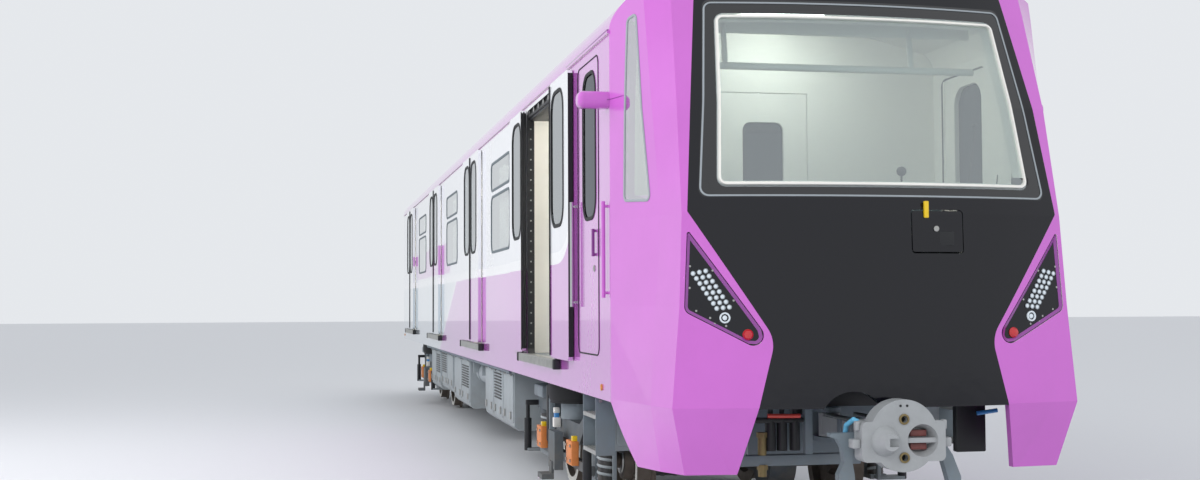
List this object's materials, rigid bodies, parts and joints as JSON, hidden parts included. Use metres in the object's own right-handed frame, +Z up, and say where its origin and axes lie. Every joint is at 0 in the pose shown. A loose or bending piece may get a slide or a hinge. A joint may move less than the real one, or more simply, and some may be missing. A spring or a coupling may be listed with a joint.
{
  "type": "metro train head car",
  "caption": "Metro head car with a driver's cab, two bogies, sliding double doors, automatic coupler and a gangway end.",
  "frame": {"origin": "under the middle of the car, at the lowest points of the wheel flanges", "axes": "+Z up, -Y towards the cab end, +X to the right seen from in front of the cab"},
  "size_m": [3.08, 20.215, 3.71],
  "materials": {
    "body_side_paint": "gloss",
    "roof_paint": "satin",
    "mask_lacquer": "gloss",
    "black_panel": "gloss",
    "clear_glass": "gloss",
    "lamp_lens": "gloss",
    "underframe_paint": "satin",
    "case_paint": "satin",
    "bogie_paint": "satin",
    "wheel_steel": "machined",
    "spring_rubber": "matte",
    "coupler_steel": "satin",
    "bellows_rubber": "matte",
    "interior_panel": "satin",
    "desk_plastic": "matte",
    "seat_fabric": "woven",
    "rail_steel": "brushed",
    "sill_alloy": "ribbed"
  },
  "bodies": {
    "body": {"underframe": "underframe_paint", "side_wall_left": "body_side_paint", "side_wall_right": "body_side_paint", "roof_shell": "roof_paint", "rear_end_wall": "body_side_paint", "gangway_bellows": "bellows_rubber", "cab_mask": "mask_lacquer", "front_panel": "black_panel", "windscreen": "clear_glass", "cab_side_glass": "clear_glass", "saloon_glass": "clear_glass", "lamp_clusters": "lamp_lens", "camera_pods": "mask_lacquer", "cab_handrails": "rail_steel", "cab_steps": "underframe_paint", "door_sills": "sill_alloy", "door_headers": "interior_panel", "cab_bulkhead": "interior_panel", "driver_desk": "desk_plastic", "driver_seat": "seat_fabric", "saloon_benches": "seat_fabric", "grab_rails": "rail_steel", "roof_units": "case_paint", "equipment_cases": "case_paint", "air_tanks": "case_paint", "coupler_carriers": "underframe_paint"},
    "bogie_front": {"bogie_frame_front": "bogie_paint", "suspension_front": "spring_rubber", "traction_drive_front": "bogie_paint", "shoe_gear_front": "bogie_paint"},
    "wheelset_front_leading": {"wheelset_front_leading": "wheel_steel"},
    "wheelset_front_trailing": {"wheelset_front_trailing": "wheel_steel"},
    "bogie_rear": {"bogie_frame_rear": "bogie_paint", "suspension_rear": "spring_rubber", "traction_drive_rear": "bogie_paint", "shoe_gear_rear": "bogie_paint"},
    "wheelset_rear_leading": {"wheelset_rear_leading": "wheel_steel"},
    "wheelset_rear_trailing": {"wheelset_rear_trailing": "wheel_steel"},
    "coupler_front": {"front_coupler": "coupler_steel"},
    "coupler_rear": {"rear_coupler": "coupler_steel"},
    "cab_door_left": {"cab_door_left": "mask_lacquer"},
    "cab_door_right": {"cab_door_right": "mask_lacquer"},
    "bulkhead_door": {"bulkhead_door": "interior_panel"},
    "front_flap": {"front_flap": "black_panel"},
    "leaf_left_1_front": {"leaf_left_1_front": "body_side_paint"},
    "leaf_left_1_rear": {"leaf_left_1_rear": "body_side_paint"},
    "leaf_left_2_front": {"leaf_left_2_front": "body_side_paint"},
    "leaf_left_2_rear": {"leaf_left_2_rear": "body_side_paint"},
    "leaf_left_3_front": {"leaf_left_3_front": "body_side_paint"},
    "leaf_left_3_rear": {"leaf_left_3_rear": "body_side_paint"},
    "leaf_left_4_front": {"leaf_left_4_front": "body_side_paint"},
    "leaf_left_4_rear": {"leaf_left_4_rear": "body_side_paint"},
    "leaf_right_1_front": {"leaf_right_1_front": "body_side_paint"},
    "leaf_right_1_rear": {"leaf_right_1_rear": "body_side_paint"},
    "leaf_right_2_front": {"leaf_right_2_front": "body_side_paint"},
    "leaf_right_2_rear": {"leaf_right_2_rear": "body_side_paint"},
    "leaf_right_3_front": {"leaf_right_3_front": "body_side_paint"},
    "leaf_right_3_rear": {"leaf_right_3_rear": "body_side_paint"},
    "leaf_right_4_front": {"leaf_right_4_front": "body_side_paint"},
    "leaf_right_4_rear": {"leaf_right_4_rear": "body_side_paint"}
  },
  "joints": [
    {"name": "bogie_front_yaw", "type": "hinge", "parent": "body", "child": "bogie_front", "pos_m": [0, -5.7625, 0.63], "axis": [0, 0, 1], "range_deg": [-6, 6]},
    {"name": "wheelset_front_leading_spin", "type": "hinge", "parent": "bogie_front", "child": "wheelset_front_leading", "pos_m": [0, -6.8475, 0.46], "axis": [1, 0, 0], "continuous": true},
    {"name": "wheelset_front_trailing_spin", "type": "hinge", "parent": "bogie_front", "child": "wheelset_front_trailing", "pos_m": [0, -4.6775, 0.46], "axis": [1, 0, 0], "continuous": true},
    {"name": "bogie_rear_yaw", "type": "hinge", "parent": "body", "child": "bogie_rear", "pos_m": [0, 6.8375, 0.63], "axis": [0, 0, 1], "range_deg": [-6, 6]},
    {"name": "wheelset_rear_leading_spin", "type": "hinge", "parent": "bogie_rear", "child": "wheelset_rear_leading", "pos_m": [0, 5.7525, 0.46], "axis": [1, 0, 0], "continuous": true},
    {"name": "wheelset_rear_trailing_spin", "type": "hinge", "parent": "bogie_rear", "child": "wheelset_rear_trailing", "pos_m": [0, 7.9225, 0.46], "axis": [1, 0, 0], "continuous": true},
    {"name": "coupler_front_swing", "type": "hinge", "parent": "body", "child": "coupler_front", "pos_m": [0, -8.8625, 0.858], "axis": [0, 0, 1], "range_deg": [-15, 15]},
    {"name": "coupler_rear_swing", "type": "hinge", "parent": "body", "child": "coupler_rear", "pos_m": [0, 8.9575, 0.858], "axis": [0, 0, 1], "range_deg": [-12, 12]},
    {"name": "cab_door_left_hinge", "type": "hinge", "parent": "body", "child": "cab_door_left", "pos_m": [-1.304, -7.7375, 2.23], "axis": [0, 0, 1], "range_deg": [0, 85]},
    {"name": "cab_door_right_hinge", "type": "hinge", "parent": "body", "child": "cab_door_right", "pos_m": [1.304, -7.7375, 2.23], "axis": [0, 0, -1], "range_deg": [0, 85]},
    {"name": "bulkhead_door_hinge", "type": "hinge", "parent": "body", "child": "bulkhead_door", "pos_m": [-0.312, -7.5625, 2.13], "axis": [0, 0, 1], "range_deg": [0, 90]},
    {"name": "front_flap_hinge", "type": "hinge", "parent": "body", "child": "front_flap", "pos_m": [0.315, -9.7763, 1.891], "axis": [0.9978, 0.0663, 0], "range_deg": [0, 100]},
    {"name": "door_left_1_front_slide", "type": "slide", "parent": "body", "child": "leaf_left_1_front", "axis": [0, -1, 0], "range_m": [-0.7, 0]},
    {"name": "door_left_1_rear_slide", "type": "slide", "parent": "body", "child": "leaf_left_1_rear", "axis": [0, 1, 0], "range_m": [-0.7, 0]},
    {"name": "door_left_2_front_slide", "type": "slide", "parent": "body", "child": "leaf_left_2_front", "axis": [0, -1, 0], "range_m": [0, 0.7]},
    {"name": "door_left_2_rear_slide", "type": "slide", "parent": "body", "child": "leaf_left_2_rear", "axis": [0, 1, 0], "range_m": [0, 0.7]},
    {"name": "door_left_3_front_slide", "type": "slide", "parent": "body", "child": "leaf_left_3_front", "axis": [0, -1, 0], "range_m": [0, 0.7]},
    {"name": "door_left_3_rear_slide", "type": "slide", "parent": "body", "child": "leaf_left_3_rear", "axis": [0, 1, 0], "range_m": [0, 0.7]},
    {"name": "door_left_4_front_slide", "type": "slide", "parent": "body", "child": "leaf_left_4_front", "axis": [0, -1, 0], "range_m": [0, 0.7]},
    {"name": "door_left_4_rear_slide", "type": "slide", "parent": "body", "child": "leaf_left_4_rear", "axis": [0, 1, 0], "range_m": [0, 0.7]},
    {"name": "door_right_1_front_slide", "type": "slide", "parent": "body", "child": "leaf_right_1_front", "axis": [0, -1, 0], "range_m": [0, 0.7]},
    {"name": "door_right_1_rear_slide", "type": "slide", "parent": "body", "child": "leaf_right_1_rear", "axis": [0, 1, 0], "range_m": [0, 0.7]},
    {"name": "door_right_2_front_slide", "type": "slide", "parent": "body", "child": "leaf_right_2_front", "axis": [0, -1, 0], "range_m": [0, 0.7]},
    {"name": "door_right_2_rear_slide", "type": "slide", "parent": "body", "child": "leaf_right_2_rear", "axis": [0, 1, 0], "range_m": [0, 0.7]},
    {"name": "door_right_3_front_slide", "type": "slide", "parent": "body", "child": "leaf_right_3_front", "axis": [0, -1, 0], "range_m": [0, 0.7]},
    {"name": "door_right_3_rear_slide", "type": "slide", "parent": "body", "child": "leaf_right_3_rear", "axis": [0, 1, 0], "range_m": [0, 0.7]},
    {"name": "door_right_4_front_slide", "type": "slide", "parent": "body", "child": "leaf_right_4_front", "axis": [0, -1, 0], "range_m": [0, 0.7]},
    {"name": "door_right_4_rear_slide", "type": "slide", "parent": "body", "child": "leaf_right_4_rear", "axis": [0, 1, 0], "range_m": [0, 0.7]}
  ],
  "couplings": [
    {"joint": "door_left_1_rear_slide", "follows": "door_left_1_front_slide", "ratio": 1},
    {"joint": "door_left_2_rear_slide", "follows": "door_left_2_front_slide", "ratio": 1},
    {"joint": "door_left_3_rear_slide", "follows": "door_left_3_front_slide", "ratio": 1},
    {"joint": "door_left_4_rear_slide", "follows": "door_left_4_front_slide", "ratio": 1},
    {"joint": "door_right_1_rear_slide", "follows": "door_right_1_front_slide", "ratio": 1},
    {"joint": "door_right_2_rear_slide", "follows": "door_right_2_front_slide", "ratio": 1},
    {"joint": "door_right_3_rear_slide", "follows": "door_right_3_front_slide", "ratio": 1},
    {"joint": "door_right_4_rear_slide", "follows": "door_right_4_front_slide", "ratio": 1}
  ]
}
